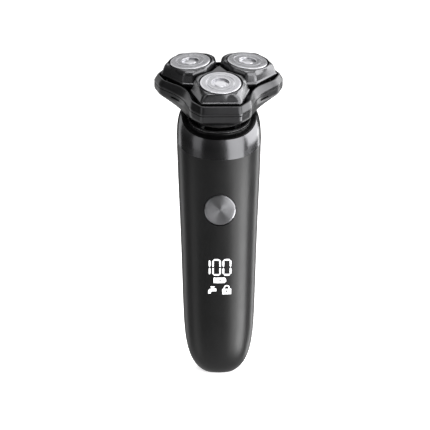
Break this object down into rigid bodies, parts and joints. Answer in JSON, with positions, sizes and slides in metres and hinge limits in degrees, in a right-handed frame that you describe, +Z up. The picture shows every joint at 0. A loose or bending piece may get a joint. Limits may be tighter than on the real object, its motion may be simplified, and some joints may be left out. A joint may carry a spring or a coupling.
{
  "type": "rotary electric shaver",
  "caption": "Cordless rotary shaver: tapered black handle with a lit display and a round key, dark metal collar, and a flexing head with tilting round cutters.",
  "frame": {"origin": "centre of the small flat foot under the handle", "axes": "+Z up the handle, front with the display towards -Y, +X to the right seen from the front"},
  "size_m": [0.0662, 0.0578, 0.1665],
  "materials": {
    "shell_black": "satin black moulded plastic",
    "grip_black": "fine matte grip coating",
    "light_window": "lit white windows",
    "gunmetal": "dark polished metal trim",
    "neck_black": "gloss black",
    "head_paint": "dark grey metallic paint",
    "pod_paint": "dark grey metallic paint",
    "steel": "ground and turned steel",
    "button_metal": "circular spun metal",
    "inner_plastic": "moulded black plastic",
    "gear_plastic": "natural acetal",
    "rubber_black": "soft black rubber",
    "screw_steel": "zinc-plated steel",
    "motor_steel": "drawn steel can",
    "magnet": "ferrite",
    "board_green": "solder mask",
    "cell_wrap": "shrink sleeve over steel",
    "nickel": "nickel strip"
  },
  "bodies": {
    "handle": {"front_shell": "shell_black", "rear_shell": "grip_black", "display_icons": "light_window", "collar_ring": "gunmetal", "neck_base": "neck_black", "neck_screws": "screw_steel", "neck_seal": "rubber_black", "chassis": "inner_plastic", "chassis_screws": "screw_steel", "battery_cell": "cell_wrap", "battery_tabs": "nickel", "main_board": "board_green", "display_module": "inner_plastic", "tact_switch": "inner_plastic", "button_gasket": "rubber_black", "charge_socket": "screw_steel", "socket_gasket": "rubber_black", "motor_can": "motor_steel", "motor_magnets": "magnet", "motor_cap": "inner_plastic", "motor_screws": "screw_steel", "shaft_seal": "rubber_black"},
    "button": {"power_button": "button_metal"},
    "motor_rotor": {"rotor": "screw_steel", "drive_ball": "screw_steel"},
    "gimbal": {"gimbal_ring": "inner_plastic"},
    "head_base": {"head_housing": "head_paint", "gear_deck": "inner_plastic", "gear_cover": "inner_plastic", "cover_screws": "screw_steel", "latch_magnets": "magnet", "neck_boot": "rubber_black"},
    "sun": {"sun_gear": "gear_plastic"},
    "shaving_head": {"blade_frame": "head_paint", "latch_plates": "screw_steel", "frame_hub": "head_paint"},
    "gear_1": {"drive_gear_1": "gear_plastic", "spindle_1": "screw_steel", "spindle_spring_1": "screw_steel"},
    "pod_body_1": {"pod_1": "pod_paint", "pod_ring_1": "inner_plastic"},
    "cap_body_1": {"cutter_cap_1": "steel"},
    "blade_body_1": {"blade_1": "steel", "blade_carrier_1": "inner_plastic"},
    "gear_2": {"drive_gear_2": "gear_plastic", "spindle_2": "screw_steel", "spindle_spring_2": "screw_steel"},
    "pod_body_2": {"pod_2": "pod_paint", "pod_ring_2": "inner_plastic"},
    "cap_body_2": {"cutter_cap_2": "steel"},
    "blade_body_2": {"blade_2": "steel", "blade_carrier_2": "inner_plastic"},
    "gear_3": {"drive_gear_3": "gear_plastic", "spindle_3": "screw_steel", "spindle_spring_3": "screw_steel"},
    "pod_body_3": {"pod_3": "pod_paint", "pod_ring_3": "inner_plastic"},
    "cap_body_3": {"cutter_cap_3": "steel"},
    "blade_body_3": {"blade_3": "steel", "blade_carrier_3": "inner_plastic"}
  },
  "joints": [
    {"name": "button_press", "type": "slide", "parent": "handle", "child": "button", "axis": [0, 1, 0], "range_m": [0, 0.0008], "stiffness_N_per_m": 2000, "springref_m": -0.0006},
    {"name": "motor_spin", "type": "hinge", "parent": "handle", "child": "motor_rotor", "pos_m": [0, 0.00107, 0.1377], "axis": [0, -0.309, 0.9511], "continuous": true},
    {"name": "head_pitch", "type": "hinge", "parent": "handle", "child": "gimbal", "pos_m": [0, 0.00107, 0.1377], "axis": [1, 0, 0], "range_deg": [-4, 4], "stiffness_Nm_per_rad": 0.6},
    {"name": "head_roll", "type": "hinge", "parent": "gimbal", "child": "head_base", "pos_m": [0, 0.00107, 0.1377], "axis": [0, -0.9511, -0.309], "range_deg": [-4, 4], "stiffness_Nm_per_rad": 0.6},
    {"name": "sun_spin", "type": "hinge", "parent": "head_base", "child": "sun", "pos_m": [0, 0.00107, 0.1377], "axis": [0, -0.309, 0.9511], "continuous": true},
    {"name": "frame_lift", "type": "slide", "parent": "head_base", "child": "shaving_head", "axis": [0, -0.309, 0.9511], "range_m": [0, 0.025]},
    {"name": "gear_spin_1", "type": "hinge", "parent": "head_base", "child": "gear_1", "pos_m": [0, -0.01759, 0.14173], "axis": [0, -0.309, 0.9511], "continuous": true},
    {"name": "pod_tilt_1", "type": "hinge", "parent": "shaving_head", "child": "pod_body_1", "pos_m": [0, -0.03032, 0.1479], "axis": [-1, 0, 0], "range_deg": [0, 5], "stiffness_Nm_per_rad": 0.12, "springref_deg": -4.58},
    {"name": "cap_float_1", "type": "slide", "parent": "pod_body_1", "child": "cap_body_1", "axis": [0, 0.3987, -0.9171], "range_m": [0, 0.001], "stiffness_N_per_m": 500, "springref_m": -0.002},
    {"name": "blade_spin_1", "type": "hinge", "parent": "cap_body_1", "child": "blade_body_1", "pos_m": [0, -0.02267, 0.15575], "axis": [0, -0.3987, 0.9171], "continuous": true},
    {"name": "gear_spin_2", "type": "hinge", "parent": "head_base", "child": "gear_2", "pos_m": [0.01429, 0.00595, 0.14938], "axis": [0, -0.309, 0.9511], "continuous": true},
    {"name": "pod_tilt_2", "type": "hinge", "parent": "shaving_head", "child": "pod_body_2", "pos_m": [0.02312, 0.00777, 0.16028], "axis": [0.5, -0.8236, -0.2676], "range_deg": [0, 5], "stiffness_Nm_per_rad": 0.12, "springref_deg": -4.58},
    {"name": "cap_float_2", "type": "slide", "parent": "pod_body_2", "child": "cap_body_2", "axis": [-0.083, 0.262, -0.9615], "range_m": [0, 0.001], "stiffness_N_per_m": 500, "springref_m": -0.002},
    {"name": "blade_spin_2", "type": "hinge", "parent": "cap_body_2", "child": "blade_body_2", "pos_m": [0.01472, 0.00158, 0.16363], "axis": [0.083, -0.262, 0.9615], "continuous": true},
    {"name": "gear_spin_3", "type": "hinge", "parent": "head_base", "child": "gear_3", "pos_m": [-0.01429, 0.00595, 0.14938], "axis": [0, -0.309, 0.9511], "continuous": true},
    {"name": "pod_tilt_3", "type": "hinge", "parent": "shaving_head", "child": "pod_body_3", "pos_m": [-0.02312, 0.00777, 0.16028], "axis": [0.5, 0.8236, 0.2676], "range_deg": [0, 5], "stiffness_Nm_per_rad": 0.12, "springref_deg": -4.58},
    {"name": "cap_float_3", "type": "slide", "parent": "pod_body_3", "child": "cap_body_3", "axis": [0.083, 0.262, -0.9615], "range_m": [0, 0.001], "stiffness_N_per_m": 500, "springref_m": -0.002},
    {"name": "blade_spin_3", "type": "hinge", "parent": "cap_body_3", "child": "blade_body_3", "pos_m": [-0.01472, 0.00158, 0.16363], "axis": [-0.083, -0.262, 0.9615], "continuous": true}
  ],
  "couplings": [
    {"joint": "sun_spin", "follows": "motor_spin", "ratio": 1},
    {"joint": "gear_spin_1", "follows": "motor_spin", "ratio": -0.69231},
    {"joint": "blade_spin_1", "follows": "motor_spin", "ratio": -0.69231},
    {"joint": "gear_spin_2", "follows": "motor_spin", "ratio": -0.69231},
    {"joint": "blade_spin_2", "follows": "motor_spin", "ratio": -0.69231},
    {"joint": "gear_spin_3", "follows": "motor_spin", "ratio": -0.69231},
    {"joint": "blade_spin_3", "follows": "motor_spin", "ratio": -0.69231}
  ]
}
